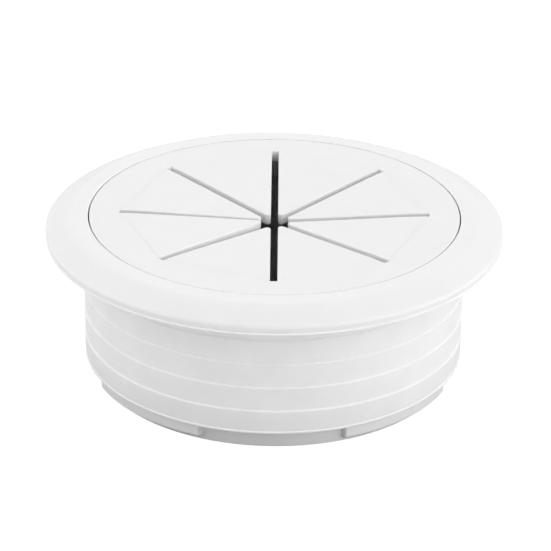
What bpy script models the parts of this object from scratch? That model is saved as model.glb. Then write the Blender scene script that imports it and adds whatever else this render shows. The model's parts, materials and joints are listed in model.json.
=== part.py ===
"""Desk grommet for an 80 mm hole: a trim flange with its tube, a ribbed sleeve and a slotted lid."""

import math

import bmesh
import bpy
from mathutils import Matrix, Vector

# Metres, +Z up, front at -Y. The origin is the centre of the tube's lower end.

# Driving dimensions
DESK_HOLE_RADIUS = 0.040
FLANGE_RADIUS = 0.048
TUBE_DEPTH = 0.0306
FLANGE_HEIGHT = 0.0045
LID_THICKNESS = 0.0025
PETAL_COUNT = 8
SLIT_WIDTH = 0.0015
SLIT_END_RADIUS = 0.0325
HOLE_RADIUS = 0.0031
RUNNING_GAP = 0.0003

# Flange
UNDERSIDE = TUBE_DEPTH
TRIM_TOP = UNDERSIDE + FLANGE_HEIGHT
RIM_HEIGHT = 0.00195
RIM_SET_BACK = 0.0001
LIP_SET_OUT = 0.0006
LIP_HEIGHT = 0.00022
LIP_TOP = 0.0005
FLAT_RING_RADIUS = 0.0430
SLOPE_BULGE = 0.00018
CORE_INNER_RADIUS = 0.0413
CORE_OUTER_RADIUS = 0.0460
CORE_DEPTH = 0.0018
CORE_EDGE_DEPTH = 0.0008
CORE_DRAFT = 0.0003

# Tube and its retaining lugs
TUBE_RADIUS = 0.0374
TUBE_WALL = 0.0015
TUBE_INNER_RADIUS = TUBE_RADIUS - TUBE_WALL
LUG_COUNT = 4
LUG_RADIUS = 0.0389
LUG_BOTTOM = 0.0013
LUG_TOP = 0.00395
LUG_ROUND = 0.0004
LUG_HALF_ANGLE = math.radians(22.7)

# Lid seat, in the flange
SEAT_RADIUS = 0.03907
LID_TOP = TRIM_TOP - 0.00005
LID_BOTTOM = LID_TOP - LID_THICKNESS
SEAT_LEDGE = LID_BOTTOM - RUNNING_GAP

# Ribbed sleeve
SLEEVE_INNER_RADIUS = TUBE_RADIUS + RUNNING_GAP
SLEEVE_CREST_RADIUS = DESK_HOLE_RADIUS + 0.00015
SLEEVE_ROOT_RADIUS = DESK_HOLE_RADIUS - 0.00025
SLEEVE_TOP = UNDERSIDE - RUNNING_GAP
SLEEVE_BOTTOM = LUG_TOP + RUNNING_GAP
SLEEVE_BANDS = 5
SLEEVE_BAND_PITCH = 0.00527
RIB_CHAMFER = 0.0004
SLEEVE_EDGE = 0.0003

# Lid
LID_RADIUS = 0.0387
LID_EDGE = 0.0002
LID_BLANK_RADIUS = 0.0285
SKIRT_RADIUS = 0.0355
SKIRT_WALL = 0.0012
SKIRT_DEPTH = 0.0045
SKIRT_BEAD = 0.00012
SKIRT_BEAD_HEIGHT = 0.0012
NOTCH_WIDTH = 0.006

# Petals
PETAL_ANGLE = 2 * math.pi / PETAL_COUNT
HINGE_DISTANCE = SLIT_END_RADIUS * math.cos(PETAL_ANGLE / 2)
HINGE_SKIN = 0.0005
PETAL_BEVEL_RUN = 0.0036
PETAL_DROOP = math.radians(3.9)
RAISED_PETAL = 7
RAISED_BY = math.radians(0.8)
LOWERED_PETAL = 8
LOWERED_BY = math.radians(0.7)

# Facets
TURN_STEPS = 72
SLOPE_STEPS = 4
TIP_STEPS = 4
CUTTER_REACH = 0.06
WELD_DISTANCE = 0.000002
SHARP_ANGLE = math.radians(30)

FLANGE_COLOUR = (0.86, 0.86, 0.86)
SLEEVE_COLOUR = (0.84, 0.84, 0.84)
LID_COLOUR = (0.85, 0.85, 0.85)


def clear_scene():
    for found in list(bpy.data.objects):
        bpy.data.objects.remove(found)


def new_collection(name):
    collection = bpy.data.collections.new(name)
    bpy.context.scene.collection.children.link(collection)
    return collection


def plastic(name, colour, roughness):
    material = bpy.data.materials.new(name)
    material.use_nodes = True
    shader = material.node_tree.nodes["Principled BSDF"]
    shader.inputs["Base Color"].default_value = (*colour, 1.0)
    shader.inputs["Roughness"].default_value = roughness
    shader.inputs["Metallic"].default_value = 0.0
    return material


def add_object(name, mesh, collection, material=None):
    made = bpy.data.objects.new(name, mesh)
    collection.objects.link(made)
    if material:
        mesh.materials.append(material)
    return made


def make_helper(helper):
    helper.hide_render = True
    helper.display_type = "WIRE"


def turned(name, profile, collection, material=None):
    """A closed (radius, height) profile turned about Z. It runs down its outer side and up its inner one."""
    count = len(profile)
    mesh = bpy.data.meshes.new(name)
    points = [(radius, 0.0, height) for radius, height in profile]
    edges = [(index, (index + 1) % count) for index in range(count)]
    mesh.from_pydata(points, edges, [])
    made = add_object(name, mesh, collection, material)
    screw = made.modifiers.new("turn", "SCREW")
    screw.axis = "Z"
    screw.steps = TURN_STEPS
    screw.render_steps = TURN_STEPS
    screw.use_merge_vertices = True
    screw.merge_threshold = WELD_DISTANCE
    return made


def extruded(name, outline, thickness, collection, matrix):
    """A flat outline made into a closed prism, centred on its own plane, then placed by matrix."""
    curve = bpy.data.curves.new(name, "CURVE")
    curve.dimensions = "2D"
    curve.fill_mode = "BOTH"
    curve.extrude = thickness / 2
    spline = curve.splines.new("POLY")
    spline.points.add(len(outline) - 1)
    for point, (x, y) in zip(spline.points, outline):
        point.co = (x, y, 0.0, 1.0)
    spline.use_cyclic_u = True
    flat = bpy.data.objects.new(name + "_outline", curve)
    collection.objects.link(flat)
    mesh = welded_mesh(flat)
    bpy.data.objects.remove(flat)
    prism = add_object(name, mesh, collection)
    prism.matrix_world = matrix
    return prism


def welded_mesh(source):
    """The evaluated mesh of an object, with the caps of a curve welded to its sides."""
    bpy.context.view_layer.update()
    graph = bpy.context.evaluated_depsgraph_get()
    mesh = bpy.data.meshes.new_from_object(source.evaluated_get(graph))
    joined = bmesh.new()
    joined.from_mesh(mesh)
    bmesh.ops.remove_doubles(joined, verts=joined.verts, dist=WELD_DISTANCE)
    bmesh.ops.recalc_face_normals(joined, faces=joined.faces)
    joined.to_mesh(mesh)
    joined.free()
    return mesh


def box_cutter(name, size, centre, angle, collection):
    bpy.ops.mesh.primitive_cube_add(size=1.0)
    cutter = bpy.context.object
    cutter.name = name
    cutter.data.transform(Matrix.Diagonal((*size, 1.0)))
    cutter.matrix_world = Matrix.Rotation(angle, 4, "Z") @ Matrix.Translation(centre)
    move_to(cutter, collection)
    make_helper(cutter)
    return cutter


def move_to(found, collection):
    for old in list(found.users_collection):
        old.objects.unlink(found)
    collection.objects.link(found)


def boolean(target, other, operation):
    cut = target.modifiers.new(other.name, "BOOLEAN")
    cut.object = other
    cut.operation = operation


def shade_round(mesh):
    mesh.shade_smooth()
    mesh.set_sharp_from_angle(angle=SHARP_ANGLE)


def freeze(made):
    """Keeps the result of an object's modifiers as its own mesh."""
    mesh = welded_mesh(made)
    made.modifiers.clear()
    made.data = mesh
    shade_round(mesh)


def slope_points():
    """The flange's sloping top face, from the flat ring out to the rim, with a slight bulge."""
    start = Vector((FLAT_RING_RADIUS, TRIM_TOP))
    end = Vector((FLANGE_RADIUS - RIM_SET_BACK, UNDERSIDE + RIM_HEIGHT))
    across = (end - start).normalized()
    outward = Vector((-across.y, across.x))
    points = []
    for step in range(SLOPE_STEPS + 1):
        share = step / SLOPE_STEPS
        point = start.lerp(end, share) + outward * SLOPE_BULGE * math.sin(math.pi * share)
        points.append((point.x, point.y))
    return points


def flange_profile():
    outer = [(SEAT_RADIUS, TRIM_TOP)]
    outer += slope_points()
    outer += [
        (FLANGE_RADIUS - LIP_SET_OUT, UNDERSIDE + LIP_TOP),
        (FLANGE_RADIUS, UNDERSIDE + LIP_HEIGHT),
        (FLANGE_RADIUS, UNDERSIDE),
    ]
    core = [
        (CORE_OUTER_RADIUS, UNDERSIDE),
        (CORE_OUTER_RADIUS - CORE_DRAFT, UNDERSIDE + CORE_EDGE_DEPTH),
        (FLAT_RING_RADIUS, UNDERSIDE + CORE_DEPTH),
        (CORE_INNER_RADIUS + CORE_DRAFT, UNDERSIDE + CORE_DEPTH),
        (CORE_INNER_RADIUS, UNDERSIDE),
    ]
    tube = [
        (TUBE_RADIUS, UNDERSIDE),
        (TUBE_RADIUS, 0.0),
        (TUBE_INNER_RADIUS, 0.0),
        (TUBE_INNER_RADIUS, SEAT_LEDGE),
        (SEAT_RADIUS, SEAT_LEDGE),
    ]
    return outer + core + tube


def lug_profile():
    inside = TUBE_RADIUS - TUBE_WALL / 2
    return [
        (inside, LUG_TOP),
        (LUG_RADIUS - LUG_ROUND / 2, LUG_TOP),
        (LUG_RADIUS, LUG_TOP - LUG_ROUND / 2),
        (LUG_RADIUS, LUG_BOTTOM + LUG_ROUND),
        (LUG_RADIUS - LUG_ROUND, LUG_BOTTOM),
        (inside, LUG_BOTTOM),
    ]


def sleeve_profile():
    """Saw teeth: each band narrows downwards, and the next one starts with a chamfer that faces up."""
    points = [(SLEEVE_CREST_RADIUS, SLEEVE_TOP)]
    for band in range(1, SLEEVE_BANDS):
        middle = UNDERSIDE - band * SLEEVE_BAND_PITCH
        points += [
            (SLEEVE_ROOT_RADIUS, middle + RIB_CHAMFER / 2),
            (SLEEVE_CREST_RADIUS, middle - RIB_CHAMFER / 2),
        ]
    points += [
        (SLEEVE_ROOT_RADIUS, SLEEVE_BOTTOM + SLEEVE_EDGE),
        (SLEEVE_ROOT_RADIUS - SLEEVE_EDGE, SLEEVE_BOTTOM),
        (SLEEVE_INNER_RADIUS, SLEEVE_BOTTOM),
        (SLEEVE_INNER_RADIUS, SLEEVE_TOP),
    ]
    return points


def lid_profile():
    skirt_bottom = LID_BOTTOM - SKIRT_DEPTH
    bead = skirt_bottom + SKIRT_BEAD_HEIGHT
    return [
        (LID_RADIUS - LID_EDGE, LID_TOP),
        (LID_RADIUS, LID_TOP - LID_EDGE),
        (LID_RADIUS, LID_BOTTOM),
        (SKIRT_RADIUS, LID_BOTTOM),
        (SKIRT_RADIUS, bead + SKIRT_BEAD_HEIGHT / 2),
        (SKIRT_RADIUS + SKIRT_BEAD, bead),
        (SKIRT_RADIUS - SKIRT_BEAD, skirt_bottom),
        (SKIRT_RADIUS - SKIRT_WALL, skirt_bottom),
        (SKIRT_RADIUS - SKIRT_WALL, LID_BOTTOM),
        (LID_BLANK_RADIUS, LID_BOTTOM),
        (LID_BLANK_RADIUS, LID_TOP),
    ]


def petal_outline():
    """One petal seen from above, with the lid's centre at the origin and the petal along +X."""
    half = PETAL_ANGLE / 2
    along = Vector((math.cos(half), math.sin(half)))
    inward = Vector((math.sin(half), -math.cos(half)))
    offset = inward * SLIT_WIDTH / 2
    root = HINGE_DISTANCE - RUNNING_GAP
    root_corner = offset + along * ((root - offset.x) / along.x)
    tip_corner = offset + along * math.sqrt(HOLE_RADIUS**2 - (SLIT_WIDTH / 2) ** 2)
    tip_half_angle = math.atan2(tip_corner.y, tip_corner.x)
    points = [(root_corner.x, -root_corner.y), (root_corner.x, root_corner.y)]
    for step in range(TIP_STEPS + 1):
        angle = tip_half_angle * (1 - 2 * step / TIP_STEPS)
        points.append((HOLE_RADIUS * math.cos(angle), HOLE_RADIUS * math.sin(angle)))
    return points


def petal_section():
    """The petal cut along its length: its underside thins to a living hinge at the root."""
    root = HINGE_DISTANCE - RUNNING_GAP
    return [
        (0.0, LID_TOP),
        (root, LID_TOP),
        (root, LID_TOP - HINGE_SKIN),
        (root - PETAL_BEVEL_RUN, LID_BOTTOM),
        (0.0, LID_BOTTOM),
    ]


def build_flange(parts, cutters):
    material = plastic("flange_plastic", FLANGE_COLOUR, 0.45)
    flange = turned("trim_flange", flange_profile(), parts, material)
    lugs = turned("lug_ring", lug_profile(), cutters)
    make_helper(lugs)
    gap_width = 2 * LUG_RADIUS * math.sin(math.pi / LUG_COUNT - LUG_HALF_ANGLE)
    gap_size = (2 * CUTTER_REACH, gap_width, 4 * LUG_TOP)
    for index in range(LUG_COUNT // 2):
        name = f"lug_gap_{index + 1}"
        angle = 2 * math.pi * index / LUG_COUNT
        gap = box_cutter(name, gap_size, Vector((0.0, 0.0, 0.0)), angle, cutters)
        boolean(lugs, gap, "DIFFERENCE")
    boolean(flange, lugs, "UNION")
    freeze(flange)


def build_sleeve(parts):
    material = plastic("sleeve_plastic", SLEEVE_COLOUR, 0.6)
    sleeve = turned("ribbed_sleeve", sleeve_profile(), parts, material)
    freeze(sleeve)


def build_lid(parts, cutters, material):
    lid = turned("lid_ring", lid_profile(), parts, material)
    bpy.ops.mesh.primitive_cylinder_add(
        vertices=PETAL_COUNT,
        radius=SLIT_END_RADIUS,
        depth=4 * LID_THICKNESS,
        location=(0.0, 0.0, (LID_TOP + LID_BOTTOM) / 2),
    )
    opening = bpy.context.object
    opening.name = "petal_opening"
    move_to(opening, cutters)
    make_helper(opening)
    boolean(lid, opening, "DIFFERENCE")
    notch_size = (2 * CUTTER_REACH, NOTCH_WIDTH, SKIRT_DEPTH)
    notch_centre = Vector((0.0, 0.0, LID_BOTTOM - RUNNING_GAP - SKIRT_DEPTH / 2))
    for index in range(PETAL_COUNT // 2):
        name = f"skirt_notch_{index + 1}"
        notch = box_cutter(name, notch_size, notch_centre, index * PETAL_ANGLE, cutters)
        boolean(lid, notch, "DIFFERENCE")
    freeze(lid)
    return lid


def build_petal_mesh(cutters, material):
    """The petal's mesh about its hinge: the flat outline, cut to the lengthwise section."""
    height = (LID_TOP + LID_BOTTOM) / 2
    flat = Matrix.Translation((0.0, 0.0, height))
    blank = extruded("petal_blank", petal_outline(), 2 * LID_THICKNESS, cutters, flat)
    upright = Matrix.Rotation(math.pi / 2, 4, "X")
    section = extruded("petal_section", petal_section(), 2 * CUTTER_REACH, cutters, upright)
    boolean(blank, section, "INTERSECT")
    mesh = welded_mesh(blank)
    to_hinge = Matrix.Translation((-HINGE_DISTANCE, 0.0, HINGE_SKIN - LID_TOP))
    mesh.transform(to_hinge @ blank.matrix_world)
    mesh.materials.append(material)
    shade_round(mesh)
    make_helper(blank)
    make_helper(section)
    return mesh


def petal_droop(number):
    if number == RAISED_PETAL:
        return PETAL_DROOP - RAISED_BY
    if number == LOWERED_PETAL:
        return PETAL_DROOP + LOWERED_BY
    return PETAL_DROOP


def build_petals(lid, parts, cutters, material):
    """Petal 1 is right of the front slit, and the others follow anticlockwise seen from above."""
    mesh = build_petal_mesh(cutters, material)
    for number in range(1, PETAL_COUNT + 1):
        angle = (number - 0.5) * PETAL_ANGLE - math.pi / 2
        petal = bpy.data.objects.new(f"petal_{number}", mesh)
        parts.objects.link(petal)
        petal.parent = lid
        petal.matrix_local = (
            Matrix.Rotation(angle, 4, "Z")
            @ Matrix.Translation((HINGE_DISTANCE, 0.0, LID_TOP - HINGE_SKIN))
            @ Matrix.Rotation(-petal_droop(number), 4, "Y")
        )


def main():
    clear_scene()
    parts = new_collection("desk_grommet")
    cutters = new_collection("cutters")
    lid_material = plastic("lid_plastic", LID_COLOUR, 0.5)
    build_flange(parts, cutters)
    build_sleeve(parts)
    lid = build_lid(parts, cutters, lid_material)
    build_petals(lid, parts, cutters, lid_material)


main()
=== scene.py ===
"""Looks of the round desk grommet: finely rounded mouldings in white plastic on a pale studio floor."""

import json
import math

import bmesh
import bpy
from mathutils import Matrix, Vector


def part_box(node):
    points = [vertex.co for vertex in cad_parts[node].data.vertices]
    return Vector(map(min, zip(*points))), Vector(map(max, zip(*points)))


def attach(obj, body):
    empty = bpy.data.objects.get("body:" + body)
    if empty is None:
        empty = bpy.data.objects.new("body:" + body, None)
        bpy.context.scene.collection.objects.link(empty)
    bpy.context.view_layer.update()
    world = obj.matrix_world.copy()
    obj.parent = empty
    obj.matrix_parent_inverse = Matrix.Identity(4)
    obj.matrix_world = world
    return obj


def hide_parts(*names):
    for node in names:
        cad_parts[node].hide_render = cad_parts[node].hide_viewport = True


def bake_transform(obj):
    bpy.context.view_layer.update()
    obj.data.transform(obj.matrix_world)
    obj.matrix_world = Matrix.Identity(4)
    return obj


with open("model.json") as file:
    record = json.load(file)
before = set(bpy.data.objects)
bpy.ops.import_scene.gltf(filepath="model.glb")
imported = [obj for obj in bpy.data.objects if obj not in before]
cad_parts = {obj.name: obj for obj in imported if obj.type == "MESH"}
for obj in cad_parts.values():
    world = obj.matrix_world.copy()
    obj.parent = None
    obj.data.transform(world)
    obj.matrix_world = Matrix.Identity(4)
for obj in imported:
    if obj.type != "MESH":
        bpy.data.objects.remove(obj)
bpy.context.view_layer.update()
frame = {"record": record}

MM = 0.001

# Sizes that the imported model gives
FLANGE_LOW, FLANGE_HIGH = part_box("trim_flange")
SLEEVE_LOW, SLEEVE_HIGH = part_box("ribbed_sleeve")
LID_LOW, LID_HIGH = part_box("lid_ring")
DESK_FACE = next(m for m in frame["record"]["mounts"] if m["name"] == "desk_face")
DESK_Z = DESK_FACE["pos_m"][2]

# Points closer than this count as one place
NEAR = 0.01 * MM
CUT_NEAR = 0.001 * MM
SMALLEST_TURN = 1e-9

# Turned shapes
TURN_STEPS = 288
FILLET_STEPS = 4
SHARP_ANGLE = math.radians(40)
NORMAL_WEIGHT = 80

# Flange, in metres from the desk's surface or the grommet's axis
FLANGE_RADIUS = FLANGE_HIGH.x
TRIM_TOP = FLANGE_HIGH.z
FLAT_RING_RADIUS = 43.0 * MM
SLOPE_MIDDLE = (45.45 * MM, 3.32 * MM)
RIM_CREST = (FLANGE_RADIUS + 0.2 * MM, 1.95 * MM)
LIP_ROOT = (FLANGE_RADIUS - 0.42 * MM, 0.32 * MM)
LIP_RADIUS = FLANGE_RADIUS - 0.1 * MM
LIP_HEIGHT = 0.14 * MM
RIM_FOOT_WIDTH = 2.0 * MM
CORE_INNER_RADIUS = 41.3 * MM
CORE_DEPTH = 1.8 * MM
TUBE_RADIUS = 37.4 * MM
TUBE_WALL = 1.5 * MM
SEAM_RADIUS = 38.885 * MM
SEAM_HALF = 0.14 * MM
SEAM_EDGE = 0.12 * MM
LUG_RADIUS = 38.9 * MM
LUG_BOTTOM = 1.3 * MM
LUG_TOP = 3.95 * MM
LUG_DRAFT = 0.05 * MM
LUG_HALF_ANGLE = math.radians(22.7)
LUG_END_LENGTH = 0.6 * MM
LUG_COUNT = 4
LUG_GAP_STEPS = 18
LUG_END_STEPS = 6
LUG_FACE_STEPS = 34

# Sleeve
SLEEVE_CREST = SLEEVE_HIGH.x
SLEEVE_ROOT = SLEEVE_CREST - 0.3 * MM
SLEEVE_INNER = TUBE_RADIUS + 0.3 * MM
SLEEVE_BANDS = 5
SLEEVE_PITCH = 5.27 * MM
RIB_CHAMFER = 0.3 * MM
SLEEVE_BEAD = 0.16 * MM

# Lid and petals
LID_RADIUS = SEAM_RADIUS - SEAM_HALF
LID_TOP = LID_HIGH.z
LID_THICKNESS = 2.5 * MM
LID_BOTTOM = LID_TOP - LID_THICKNESS
SKIRT_RADIUS = 35.5 * MM
SKIRT_WALL = 1.2 * MM
PETAL_COUNT = 8
PETAL_ANGLE = 2 * math.pi / PETAL_COUNT
SLIT_HALF = 0.75 * MM
SLIT_END_RADIUS = 32.5 * MM
SLIT_CORNER = 0.25 * MM
EDGE_ROUND = 0.27 * MM
EDGE_STEPS = 4
CORNER_STEPS = 5
ROOT_STEPS = 12
TIP_ROUND = 0.55 * MM
TIP_STEPS = 6
PETAL_CUTS = 26
CUT_CROWDING = 1.6
HOLE_RADIUS = 3.1 * MM
HINGE_DISTANCE = SLIT_END_RADIUS * math.cos(PETAL_ANGLE / 2)
HINGE_SKIN = 0.5 * MM
ROOT_THICKNESS = 1.4 * MM
BEVEL_RUN = 3.6 * MM
BEND_LENGTH = 4.0 * MM
PETAL_DROOP = math.radians(3.9)
RAISED_PETAL = 7
RAISED_BY = math.radians(0.8)
LOWERED_PETAL = 8
LOWERED_BY = math.radians(0.7)


# ---------------------------------------------------------------- mesh helpers


def new_piece(name, bm, material, body, replaced):
    mesh = bpy.data.meshes.new(name)
    bm.to_mesh(mesh)
    bm.free()
    mesh.materials.append(material)
    mesh.shade_smooth()
    mesh.set_sharp_from_angle(angle=SHARP_ANGLE)
    piece = bpy.data.objects.new(name, mesh)
    bpy.context.scene.collection.objects.link(piece)
    weighted = piece.modifiers.new("even_normals", "WEIGHTED_NORMAL")
    weighted.weight = NORMAL_WEIGHT
    weighted.keep_sharp = True
    if body:
        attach(piece, body)
    if replaced:
        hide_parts(*replaced)
    return piece


def part_way(first, last, share):
    """The unit vector at a share of the turn from one unit vector to another."""
    turn = first.angle(last)
    return (first * math.sin((1 - share) * turn) + last * math.sin(share * turn)) / math.sin(turn)


def rounded(corners):
    """A closed (radius, height) outline whose corners (radius, height, fillet) are rounded by arcs."""
    points = []
    count = len(corners)
    for index, (x, y, fillet) in enumerate(corners):
        here = Vector((x, y))
        before = Vector(corners[index - 1][:2]) - here
        after = Vector(corners[(index + 1) % count][:2]) - here
        turn = before.angle(after)
        if fillet <= 0 or abs(turn - math.pi) < 0.01:
            points.append(here)
            continue
        reach = fillet / math.tan(turn / 2)
        start = here + before.normalized() * reach
        end = here + after.normalized() * reach
        inward = (before.normalized() + after.normalized()).normalized()
        middle = here + inward * (fillet / math.sin(turn / 2))
        first = (start - middle).normalized()
        last = (end - middle).normalized()
        for step in range(FILLET_STEPS + 1):
            points.append(middle + part_way(first, last, step / FILLET_STEPS) * fillet)
    return points


def swept(rings):
    """A closed ring of closed loops, such as a profile turned about Z."""
    bm = bmesh.new()
    loops = [[bm.verts.new(point) for point in ring] for ring in rings]
    count = len(loops[0])
    for here, there in zip(loops, loops[1:] + loops[:1]):
        for index in range(count):
            after = (index + 1) % count
            bm.faces.new((here[index], here[after], there[after], there[index]))
    bmesh.ops.recalc_face_normals(bm, faces=bm.faces)
    return bm


def at_angle(profile, angle):
    """A (radius, height) profile stood up at an angle round Z."""
    c, s = math.cos(angle), math.sin(angle)
    return [(point.x * c, point.x * s, point.y) for point in profile]


# ---------------------------------------------------------------- materials


PLASTIC_IOR = 1.46
GLOW_SHARE = 0.6
GLOW_DEPTH = 0.3 * MM
CLOUD_SCALE = 160.0
CLOUD_DETAIL = 5.0
CLOUD_ROUGHNESS = 0.6
GRAIN_SCALE = 3200.0
GRAIN_DETAIL = 3.0
GRAIN_HEIGHT = 0.03 * MM
GLOSS_SWING = 0.06


def plastic(name, grey, roughness, mottle, grain):
    """White moulded plastic: soft colour variation, a fine moulded grain and slightly uneven gloss."""
    material = bpy.data.materials.new(name)
    material.use_nodes = True
    nodes = material.node_tree.nodes
    links = material.node_tree.links
    shader = nodes["Principled BSDF"]
    shader.inputs["Roughness"].default_value = roughness
    shader.inputs["IOR"].default_value = PLASTIC_IOR
    shader.inputs["Subsurface Weight"].default_value = GLOW_SHARE
    shader.inputs["Subsurface Radius"].default_value = (1.0, 1.0, 1.0)
    shader.inputs["Subsurface Scale"].default_value = GLOW_DEPTH
    place = nodes.new("ShaderNodeTexCoord")

    clouds = nodes.new("ShaderNodeTexNoise")
    clouds.inputs["Scale"].default_value = CLOUD_SCALE
    clouds.inputs["Detail"].default_value = CLOUD_DETAIL
    clouds.inputs["Roughness"].default_value = CLOUD_ROUGHNESS
    links.new(place.outputs["Object"], clouds.inputs["Vector"])
    tint = nodes.new("ShaderNodeValToRGB")
    low = grey * (1 - mottle)
    high = min(1.0, grey * (1 + mottle))
    tint.color_ramp.elements[0].position = 0.3
    tint.color_ramp.elements[0].color = (low, low, low, 1.0)
    tint.color_ramp.elements[1].position = 0.7
    tint.color_ramp.elements[1].color = (high, high, high, 1.0)
    links.new(clouds.outputs["Fac"], tint.inputs["Fac"])
    links.new(tint.outputs["Color"], shader.inputs["Base Color"])

    gloss = nodes.new("ShaderNodeMapRange")
    gloss.inputs["To Min"].default_value = roughness - GLOSS_SWING
    gloss.inputs["To Max"].default_value = roughness + GLOSS_SWING
    links.new(clouds.outputs["Fac"], gloss.inputs["Value"])
    links.new(gloss.outputs["Result"], shader.inputs["Roughness"])

    fine = nodes.new("ShaderNodeTexNoise")
    fine.inputs["Scale"].default_value = GRAIN_SCALE
    fine.inputs["Detail"].default_value = GRAIN_DETAIL
    links.new(place.outputs["Object"], fine.inputs["Vector"])
    bump = nodes.new("ShaderNodeBump")
    bump.inputs["Strength"].default_value = grain
    bump.inputs["Distance"].default_value = GRAIN_HEIGHT
    links.new(fine.outputs["Fac"], bump.inputs["Height"])
    links.new(bump.outputs["Normal"], shader.inputs["Normal"])
    return material


# ---------------------------------------------------------------- trim flange


def flange_profile():
    core_top = DESK_Z + CORE_DEPTH
    core_outer = FLANGE_RADIUS - RIM_FOOT_WIDTH
    seat = SEAM_RADIUS + SEAM_HALF
    ledge = LID_BOTTOM - 0.3 * MM
    tube_inner = TUBE_RADIUS - TUBE_WALL
    corners = [
        (seat, TRIM_TOP, SEAM_EDGE),
        (FLAT_RING_RADIUS, TRIM_TOP, 3.0 * MM),
        (SLOPE_MIDDLE[0], DESK_Z + SLOPE_MIDDLE[1], 6.0 * MM),
        (RIM_CREST[0], DESK_Z + RIM_CREST[1], 0.8 * MM),
        (LIP_ROOT[0], DESK_Z + LIP_ROOT[1], 0.1 * MM),
        (LIP_RADIUS, DESK_Z + LIP_HEIGHT, 0.05 * MM),
        (LIP_RADIUS, DESK_Z, 0.04 * MM),
        (core_outer, DESK_Z, 0.2 * MM),
        (core_outer - 0.3 * MM, DESK_Z + 0.8 * MM, 0.3 * MM),
        (FLAT_RING_RADIUS, core_top, 0.6 * MM),
        (CORE_INNER_RADIUS + 0.3 * MM, core_top, 0.3 * MM),
        (CORE_INNER_RADIUS, DESK_Z, 0.15 * MM),
        (TUBE_RADIUS, DESK_Z, 0.1 * MM),
        (TUBE_RADIUS, LUG_TOP + LUG_DRAFT, 0.1 * MM),
        (LUG_RADIUS, LUG_TOP - LUG_DRAFT, 0.2 * MM),
        (LUG_RADIUS, LUG_BOTTOM + LUG_DRAFT, 0.25 * MM),
        (TUBE_RADIUS, LUG_BOTTOM - LUG_DRAFT, 0.1 * MM),
        (TUBE_RADIUS, 0.0, 0.25 * MM),
        (tube_inner, 0.0, 0.3 * MM),
        (tube_inner, ledge, 0.2 * MM),
        (seat, ledge, 0.2 * MM),
    ]
    return rounded(corners)


def lug_turns():
    """Steps round one lug and half a gap on each side of it.

    Each step is an angle from the lug's middle, and the share of the lug's height there.
    """
    end = LUG_END_LENGTH / LUG_RADIUS
    half_gap = math.pi / LUG_COUNT
    turns = []
    for step in range(LUG_GAP_STEPS):
        turns.append((-half_gap + (half_gap - LUG_HALF_ANGLE) * step / LUG_GAP_STEPS, 0.0))
    for step in range(LUG_END_STEPS):
        swing = math.pi / 2 * step / LUG_END_STEPS
        turns.append((-LUG_HALF_ANGLE + end * (1 - math.cos(swing)), math.sin(swing)))
    for step in range(LUG_FACE_STEPS // 2):
        turns.append(((end - LUG_HALF_ANGLE) * (1 - 2 * step / LUG_FACE_STEPS), 1.0))
    mirrored = [(-angle, share) for angle, share in turns[1:]]
    return turns + [(0.0, 1.0)] + list(reversed(mirrored))


def build_flange(material):
    """Turned in one piece: where there is no lug, the profile's lug is pressed flat onto the tube."""
    profile = flange_profile()
    rings = []
    for lug in range(LUG_COUNT):
        middle = 2 * math.pi * (lug + 0.5) / LUG_COUNT
        for angle, share in lug_turns():
            here = []
            for point in profile:
                radius = point.x
                if point.y < LUG_TOP + LUG_DRAFT and radius > TUBE_RADIUS:
                    radius = TUBE_RADIUS + (radius - TUBE_RADIUS) * share
                here.append(Vector((radius, point.y)))
            rings.append(at_angle(here, middle + angle))
    return new_piece("flange_moulding", swept(rings), material, "base", ["trim_flange"])


# ---------------------------------------------------------------- ribbed sleeve


def sleeve_profile():
    corners = [(SLEEVE_CREST, SLEEVE_HIGH.z, 0.15 * MM)]
    for band in range(1, SLEEVE_BANDS):
        middle = DESK_Z - band * SLEEVE_PITCH
        corners.append((SLEEVE_ROOT, middle + RIB_CHAMFER / 2, 0.06 * MM))
        corners.append((SLEEVE_CREST, middle - RIB_CHAMFER / 2, 0.1 * MM))
    corners += [
        (SLEEVE_ROOT, SLEEVE_LOW.z + 3.5 * SLEEVE_BEAD, 0.05 * MM),
        (SLEEVE_ROOT + SLEEVE_BEAD, SLEEVE_LOW.z + 2.5 * SLEEVE_BEAD, 0.06 * MM),
        (SLEEVE_ROOT + SLEEVE_BEAD, SLEEVE_LOW.z, 0.12 * MM),
        (SLEEVE_INNER, SLEEVE_LOW.z, 0.15 * MM),
        (SLEEVE_INNER, SLEEVE_HIGH.z, 0.15 * MM),
    ]
    return rounded(corners)


def build_sleeve(material):
    profile = sleeve_profile()
    rings = [at_angle(profile, 2 * math.pi * step / TURN_STEPS) for step in range(TURN_STEPS)]
    return new_piece("sleeve_moulding", swept(rings), material, "base", ["ribbed_sleeve"])


# ---------------------------------------------------------------- lid ring


def turned_point(x, y, angle):
    c, s = math.cos(angle), math.sin(angle)
    return Vector((x * c - y * s, x * s + y * c))


def root_corner():
    """Where a petal's root meets a slit along +X: its distance along the slit."""
    half = PETAL_ANGLE / 2
    return (HINGE_DISTANCE - SLIT_HALF * math.sin(half)) / math.cos(half)


def slit_end():
    """The closed end of a slit along +X, from its right side to its left, with rounded corners.

    Each item is a point, and the way and share that its rounded upper edge runs back into the lid.
    """
    half = PETAL_ANGLE / 2
    corner = Vector((root_corner(), -SLIT_HALF))
    back = Vector((-math.tan(half), -1.0))
    right = [(corner, back)]
    middle = Vector((SLIT_END_RADIUS - SLIT_CORNER, SLIT_CORNER - SLIT_HALF))
    for step in range(CORNER_STEPS + 1):
        angle = math.pi / 2 * (step / CORNER_STEPS - 1)
        way = Vector((math.cos(angle), math.sin(angle)))
        right.append((middle + way * SLIT_CORNER, way))
    left = [(Vector((p.x, -p.y)), Vector((way.x, -way.y))) for p, way in reversed(right)]
    return right + left


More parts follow.
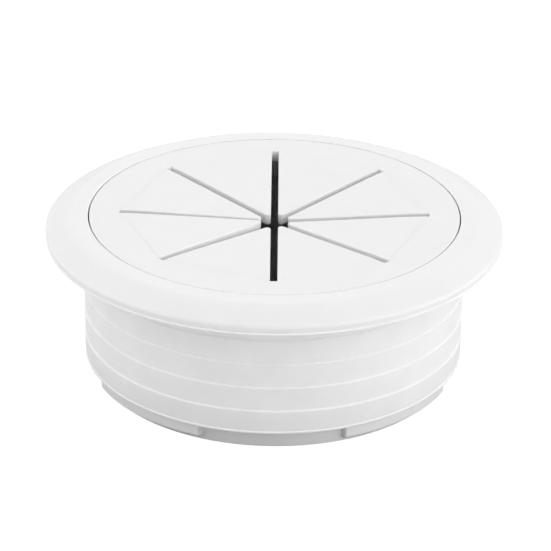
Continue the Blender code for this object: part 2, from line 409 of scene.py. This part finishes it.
def opening_outline():
    """The lid ring's inner outline: straight petal roots, and slit ends between them."""
    outline = []
    for index in range(PETAL_COUNT):
        angle = index * PETAL_ANGLE - math.pi / 2
        for point, way in slit_end():
            outline.append((turned_point(point.x, point.y, angle), turned_point(way.x, way.y, angle)))
        start = turned_point(root_corner(), SLIT_HALF, angle)
        end = turned_point(root_corner(), -SLIT_HALF, angle + PETAL_ANGLE)
        for step in range(1, ROOT_STEPS):
            outline.append((start.lerp(end, step / ROOT_STEPS), Vector((0.0, 0.0))))
    return outline


def build_lid(material):
    """The flat ring between the opening and the seam, its edge and its snap skirt."""
    outline = opening_outline()
    skirt_inner = SKIRT_RADIUS - SKIRT_WALL
    skirt_bottom = LID_LOW.z
    rings = [[(*p, LID_BOTTOM) for p, _ in outline]]
    for step in range(EDGE_STEPS + 1):
        swing = math.pi / 2 * step / EDGE_STEPS
        back = EDGE_ROUND * (1 - math.cos(swing))
        height = LID_TOP - EDGE_ROUND * (1 - math.sin(swing))
        rings.append([(*(p + way * back), height) for p, way in outline])
    corners = [
        (skirt_inner, LID_TOP, 0.0),
        (LID_RADIUS, LID_TOP, SEAM_EDGE),
        (LID_RADIUS, LID_BOTTOM, 0.15 * MM),
        (SKIRT_RADIUS, LID_BOTTOM, 0.15 * MM),
        (SKIRT_RADIUS, skirt_bottom + 1.8 * MM, 0.0),
        (SKIRT_RADIUS + 0.12 * MM, skirt_bottom + 1.2 * MM, 0.1 * MM),
        (SKIRT_RADIUS - 0.12 * MM, skirt_bottom, 0.15 * MM),
        (skirt_inner, skirt_bottom, 0.15 * MM),
        (skirt_inner, LID_BOTTOM, 0.0),
    ]
    for point in rounded(corners):
        ways = [p.normalized() for p, _ in outline]
        rings.append([(way.x * point.x, way.y * point.x, point.y) for way in ways])
    return new_piece("lid_moulding", swept(rings), material, "lid", ["lid_ring"])


# ---------------------------------------------------------------- petals


def petal_outline():
    """One petal along +X, seen from above, with its tip corners rounded where the slits meet the hole."""
    half = PETAL_ANGLE / 2
    along = Vector((math.cos(half), math.sin(half)))
    offset = Vector((math.sin(half), -math.cos(half))) * SLIT_HALF
    root = offset + along * ((HINGE_DISTANCE - offset.x) / along.x)
    # The corner's circle touches the slit's side and the hole's rim.
    far = HOLE_RADIUS + TIP_ROUND
    side = SLIT_HALF + TIP_ROUND
    distance = math.sqrt(far**2 - side**2)
    middle = Vector((math.sin(half), -math.cos(half))) * side + along * distance
    on_side = middle - Vector((math.sin(half), -math.cos(half))) * TIP_ROUND
    on_hole = middle - middle.normalized() * TIP_ROUND
    upper = [root, on_side]
    first = (on_side - middle).normalized()
    last = (on_hole - middle).normalized()
    for step in range(1, TIP_STEPS):
        upper.append(middle + part_way(first, last, step / TIP_STEPS) * TIP_ROUND)
    upper.append(on_hole)
    lower = [Vector((point.x, -point.y)) for point in reversed(upper)]
    rim_angle = math.atan2(on_hole.y, on_hole.x)
    rim = []
    for step in range(1, TIP_STEPS):
        angle = rim_angle * (1 - 2 * step / TIP_STEPS)
        rim.append(Vector((HOLE_RADIUS * math.cos(angle), HOLE_RADIUS * math.sin(angle))))
    return upper + rim + lower


def petal_mesh():
    """The flat petal along +X, before it droops.

    Its edges are rounded, its underside thins towards the root, and it is cut into strips that can bend.
    """
    bm = bmesh.new()
    outline = petal_outline()
    face = bm.faces.new([bm.verts.new((p.x, p.y, LID_TOP)) for p in outline])
    if face.normal.z < 0:
        face.normal_flip()
    raised = bmesh.ops.extrude_face_region(bm, geom=[face])
    lowered = [item for item in raised["geom"] if isinstance(item, bmesh.types.BMVert)]
    bmesh.ops.translate(bm, vec=(0, 0, -LID_THICKNESS), verts=lowered)
    bmesh.ops.recalc_face_normals(bm, faces=bm.faces)
    root_edge = HINGE_DISTANCE - NEAR
    rims = []
    for edge in bm.edges:
        at_root = all(v.co.x > root_edge for v in edge.verts)
        level = abs(edge.verts[0].co.z - edge.verts[1].co.z) < NEAR
        if level and not at_root:
            rims.append(edge)
    bmesh.ops.bevel(
        bm, geom=rims, offset=EDGE_ROUND, segments=EDGE_STEPS, profile=0.5, affect="EDGES", clamp_overlap=True
    )
    for index in range(1, PETAL_CUTS):
        share = (index / PETAL_CUTS) ** CUT_CROWDING
        x = HINGE_DISTANCE - share * (HINGE_DISTANCE - HOLE_RADIUS)
        geom = bm.verts[:] + bm.edges[:] + bm.faces[:]
        bmesh.ops.bisect_plane(bm, geom=geom, plane_co=(x, 0, 0), plane_no=(1, 0, 0), dist=CUT_NEAR)
    for vert in bm.verts:
        from_root = (HINGE_DISTANCE - vert.co.x) / BEVEL_RUN
        depth = LID_TOP - vert.co.z
        if from_root < 1 and depth > EDGE_ROUND:
            allowed = ROOT_THICKNESS + (LID_THICKNESS - ROOT_THICKNESS) * max(0.0, from_root)
            share = (depth - EDGE_ROUND) / (LID_THICKNESS - EDGE_ROUND)
            vert.co.z = LID_TOP - EDGE_ROUND - share * (allowed - EDGE_ROUND)
    return bm


def droop(bm, angle):
    """Bends the petal down by angle, smoothly over the strip next to its root."""
    pivot = LID_TOP - HINGE_SKIN
    for vert in bm.verts:
        run = HINGE_DISTANCE - vert.co.x
        height = vert.co.z - pivot
        bend = min(run, BEND_LENGTH)
        turn = angle * bend / BEND_LENGTH
        if turn < SMALLEST_TURN:
            continue
        radius = BEND_LENGTH / angle
        x = radius * math.sin(turn) + (run - bend) * math.cos(turn) + height * math.sin(turn)
        drop = radius * (1 - math.cos(turn)) + (run - bend) * math.sin(turn) - height * math.cos(turn)
        vert.co.x = HINGE_DISTANCE - x
        vert.co.z = pivot - drop


def petal_droop(number):
    if number == RAISED_PETAL:
        return PETAL_DROOP - RAISED_BY
    if number == LOWERED_PETAL:
        return PETAL_DROOP + LOWERED_BY
    return PETAL_DROOP


def build_petals(material):
    for number in range(1, PETAL_COUNT + 1):
        angle = (number - 0.5) * PETAL_ANGLE - math.pi / 2
        bm = petal_mesh()
        droop(bm, petal_droop(number))
        bmesh.ops.transform(bm, matrix=Matrix.Rotation(angle, 4, "Z"), verts=bm.verts)
        node = f"petal_{number}"
        petal = new_piece(f"petal_{number}_moulding", bm, material, None, [node])
        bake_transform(petal)


# ---------------------------------------------------------------- stage


# The floor's grey close to the grommet, darkened there as painted contact shade, and further out, each with
# the radius where it is reached
FLOOR_NEAR_SHADE = (0.09, 41.5 * MM)
FLOOR_FAR = (0.7, 51.0 * MM)
FLOOR_GLOW = 1.0
FLOOR_SIZE = 12.0
SHADE_DISC_HEIGHT = 0.05 * MM
SHADE_DISC_GREY = 0.01


def build_floor():
    """A pale floor, lit up to white where the camera sees it, with painted contact shade in its grey close to
    the grommet, and a near-black disc of painted shade inside the tube's footprint.
    """
    bpy.ops.mesh.primitive_plane_add(size=FLOOR_SIZE, location=(0.0, 0.0, 0.0))
    floor = bpy.context.object
    floor.name = "studio_floor"
    material = bpy.data.materials.new("studio_floor")
    material.use_nodes = True
    nodes = material.node_tree.nodes
    links = material.node_tree.links
    shader = nodes["Principled BSDF"]
    place = nodes.new("ShaderNodeTexCoord")
    radius = nodes.new("ShaderNodeVectorMath")
    radius.operation = "LENGTH"
    links.new(place.outputs["Object"], radius.inputs[0])
    # Painted contact shade: the floor's grey is darkest close to the grommet, so less light bounces up onto
    # its lower end.
    grey = nodes.new("ShaderNodeMapRange")
    grey.inputs["From Min"].default_value = FLOOR_NEAR_SHADE[1]
    grey.inputs["From Max"].default_value = FLOOR_FAR[1]
    grey.inputs["To Min"].default_value = FLOOR_NEAR_SHADE[0]
    grey.inputs["To Max"].default_value = FLOOR_FAR[0]
    links.new(radius.outputs["Value"], grey.inputs["Value"])
    links.new(grey.outputs["Result"], shader.inputs["Base Color"])
    shader.inputs["Roughness"].default_value = 0.9
    shader.inputs["Specular IOR Level"].default_value = 0.1
    shader.inputs["Emission Color"].default_value = (1.0, 1.0, 1.0, 1.0)
    path = nodes.new("ShaderNodeLightPath")
    glow = nodes.new("ShaderNodeMath")
    glow.operation = "MULTIPLY"
    glow.inputs[1].default_value = FLOOR_GLOW
    links.new(path.outputs["Is Camera Ray"], glow.inputs[0])
    links.new(glow.outputs["Value"], shader.inputs["Emission Strength"])
    floor.data.materials.append(material)

    # A near-black disc of painted shade inside the tube's footprint, so the inside looks dark through the
    # slits.
    bpy.ops.mesh.primitive_circle_add(
        vertices=96, radius=TUBE_RADIUS - TUBE_WALL / 2, fill_type="NGON", location=(0.0, 0.0, SHADE_DISC_HEIGHT)
    )
    shade_disc_object = bpy.context.object
    shade_disc_object.name = "painted_shade_disc"
    black = bpy.data.materials.new("painted_shade_disc")
    black.use_nodes = True
    dull = black.node_tree.nodes["Principled BSDF"]
    dull.inputs["Base Color"].default_value = (SHADE_DISC_GREY, SHADE_DISC_GREY, SHADE_DISC_GREY, 1.0)
    dull.inputs["Roughness"].default_value = 1.0
    shade_disc_object.data.materials.append(black)


# Soft lights of the studio: azimuth (0 is the front, 90 the right) and elevation in degrees,
# tightness (0 is the same from everywhere) and strength
LIGHTS = (
    (0.0, 90.0, 0.0, 0.24),
    (45.0, 18.0, 5.0, 2.0),
    (90.0, 14.0, 5.0, 1.3),
    (180.0, 30.0, 5.0, 1.2),
    (270.0, 18.0, 5.0, 2.33),
)


def build_world():
    """A studio of broad soft lights, each a smooth bright patch of the surroundings.

    The camera sees plain white.
    """
    world = bpy.data.worlds.new("studio")
    bpy.context.scene.world = world
    world.use_nodes = True
    nodes = world.node_tree.nodes
    links = world.node_tree.links
    background = nodes["Background"]
    background.inputs["Color"].default_value = (1.0, 1.0, 1.0, 1.0)
    place = nodes.new("ShaderNodeTexCoord")
    total = None
    for azimuth, elevation, tightness, strength in LIGHTS:
        patch = light_patch(nodes, links, place, (azimuth, elevation), tightness, strength)
        if total is None:
            total = patch
            continue
        add = nodes.new("ShaderNodeMath")
        add.operation = "ADD"
        links.new(total, add.inputs[0])
        links.new(patch, add.inputs[1])
        total = add.outputs["Value"]
    path = nodes.new("ShaderNodeLightPath")
    white = nodes.new("ShaderNodeMix")
    white.data_type = "FLOAT"
    links.new(path.outputs["Is Camera Ray"], white.inputs["Factor"])
    links.new(total, white.inputs["A"])
    white.inputs["B"].default_value = 1.0
    links.new(white.outputs["Result"], background.inputs["Strength"])


def light_patch(nodes, links, place, direction, tightness, strength):
    """The strength of one soft light in each direction, as a socket."""
    azimuth = math.radians(direction[0])
    elevation = math.radians(direction[1])
    across = math.cos(elevation)
    towards = nodes.new("ShaderNodeVectorMath")
    towards.operation = "DOT_PRODUCT"
    middle = (across * math.sin(azimuth), -across * math.cos(azimuth), math.sin(elevation))
    towards.inputs[1].default_value = middle
    links.new(place.outputs["Generated"], towards.inputs[0])
    front_side = nodes.new("ShaderNodeMath")
    front_side.operation = "MAXIMUM"
    front_side.inputs[1].default_value = 0.0
    links.new(towards.outputs["Value"], front_side.inputs[0])
    falloff = nodes.new("ShaderNodeMath")
    falloff.operation = "POWER"
    falloff.inputs[1].default_value = tightness
    links.new(front_side.outputs["Value"], falloff.inputs[0])
    scaled = nodes.new("ShaderNodeMath")
    scaled.operation = "MULTIPLY"
    scaled.inputs[1].default_value = strength
    links.new(falloff.outputs["Value"], scaled.inputs[0])
    return scaled.outputs["Value"]


CAMERA_DISTANCE = 618.23 * MM
CAMERA_ELEVATION = math.radians(25.88)
CAMERA_ROLL = math.radians(-0.69)
AIM_RIGHT = 0.25 * MM
AIM_BELOW = 9.13 * MM
CAMERA_LENS = 192.4
CAMERA_SENSOR = 36.0


def build_camera():
    """A long lens from the front, a quarter of the way up, aimed a little below the flange."""
    data = bpy.data.cameras.new("camera")
    data.sensor_width = CAMERA_SENSOR
    data.lens = CAMERA_LENS
    data.clip_start = 0.01
    data.clip_end = 50.0
    camera = bpy.data.objects.new("camera", data)
    bpy.context.scene.collection.objects.link(camera)
    c, s = math.cos(CAMERA_ELEVATION), math.sin(CAMERA_ELEVATION)
    forward = Vector((0.0, c, -s))
    level_up = Vector((0.0, s, c))
    level_right = Vector((1.0, 0.0, 0.0))
    right = level_right * math.cos(CAMERA_ROLL) - level_up * math.sin(CAMERA_ROLL)
    up = level_right * math.sin(CAMERA_ROLL) + level_up * math.cos(CAMERA_ROLL)
    target = Vector((0.0, 0.0, DESK_Z))
    place = target - forward * CAMERA_DISTANCE + right * AIM_RIGHT - up * AIM_BELOW
    camera.matrix_world = Matrix((
        (right.x, up.x, -forward.x, place.x),
        (right.y, up.y, -forward.y, place.y),
        (right.z, up.z, -forward.z, place.z),
        (0.0, 0.0, 0.0, 1.0),
    ))
    bpy.context.scene.camera = camera


def main():
    bpy.context.scene.view_settings.view_transform = "Standard"
    build_camera()
    build_world()
    build_floor()
    build_flange(plastic("white_flange", 0.88, roughness=0.45, mottle=0.01, grain=0.3))
    build_sleeve(plastic("white_sleeve", 0.86, roughness=0.6, mottle=0.02, grain=0.5))
    lid_white = plastic("white_lid", 0.87, roughness=0.5, mottle=0.01, grain=0.3)
    build_lid(lid_white)
    build_petals(lid_white)


main()
